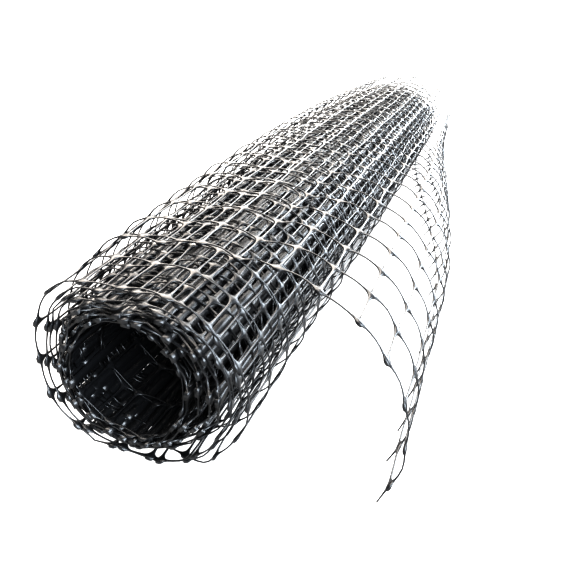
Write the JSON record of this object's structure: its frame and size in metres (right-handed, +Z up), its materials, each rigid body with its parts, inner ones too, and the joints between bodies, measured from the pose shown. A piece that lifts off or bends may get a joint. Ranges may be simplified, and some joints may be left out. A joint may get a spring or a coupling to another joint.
{
  "type": "roll of poultry netting",
  "caption": "Roll of black extruded plastic poultry netting on its side, loosely wound, open down the middle, with a loose end springing off it.",
  "frame": {"origin": "on the surface it lies on, at the middle of the bounding box's underside", "axes": "+Y along the roll from its near end to its far end, +X to the side where the loose end arches down, +Z up"},
  "size_m": [0.2797, 1.0662, 0.1569],
  "materials": {
    "black_plastic": "satin"
  },
  "bodies": {
    "root": {"wound_roll": "black_plastic", "loose_end": "black_plastic"}
  },
  "joints": []
}
